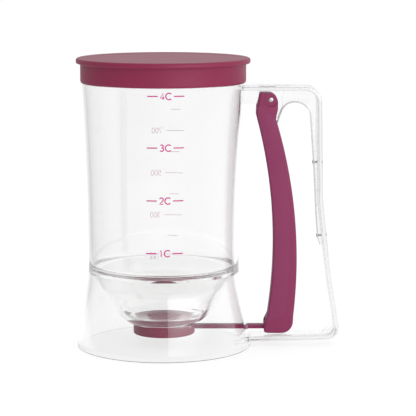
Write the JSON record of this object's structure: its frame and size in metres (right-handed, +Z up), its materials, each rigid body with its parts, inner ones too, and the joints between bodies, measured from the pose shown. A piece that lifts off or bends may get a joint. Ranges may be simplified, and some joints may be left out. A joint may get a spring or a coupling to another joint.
{
  "type": "batter dispenser",
  "caption": "Clear hand-held batter dispenser: a container with a bowl floor on a flared stand, a press-on lid, and a squeeze lever that slides a valve from under the outlet.",
  "frame": {"origin": "centre of the rim that the stand rests on, on the body's axis", "axes": "+Z up along the body's axis, +X towards the handle"},
  "size_m": [0.1708, 0.1138, 0.1874],
  "materials": {
    "clear_plastic": "polished clear moulding",
    "plum_plastic": "satin moulded plastic",
    "plum_grip": "soft satin grip",
    "seal_silicone": "smooth silicone",
    "steel": "plain stainless steel"
  },
  "bodies": {
    "body": {"container": "clear_plastic", "stand_skirt": "clear_plastic", "handle_frame": "clear_plastic", "pivot_pin": "steel", "return_spring": "steel", "spring_rivets": "steel"},
    "lever": {"lever": "plum_plastic", "lever_grip": "plum_grip"},
    "valve": {"valve_rod": "plum_plastic", "valve_cup": "plum_plastic", "valve_seal": "seal_silicone", "rod_pin": "steel"},
    "lid": {"lid": "plum_plastic"}
  },
  "joints": [
    {"name": "lever_pivot", "type": "hinge", "parent": "body", "child": "lever", "pos_m": [0.069, 0, 0.1609], "axis": [0, -1, 0], "range_deg": [0, 8.5], "stiffness_Nm_per_rad": 3, "springref_deg": -5.73, "deforming": ["return_spring"]},
    {"name": "valve_slide", "type": "slide", "parent": "body", "child": "valve", "axis": [1, 0, 0], "range_m": [0, 0.0223]},
    {"name": "lid_lift", "type": "slide", "parent": "body", "child": "lid", "axis": [0, 0, 1], "range_m": [0, 0.03]}
  ],
  "couplings": [
    {"joint": "valve_slide", "follows": "lever_pivot", "m_per_rad": 0.1498}
  ]
}
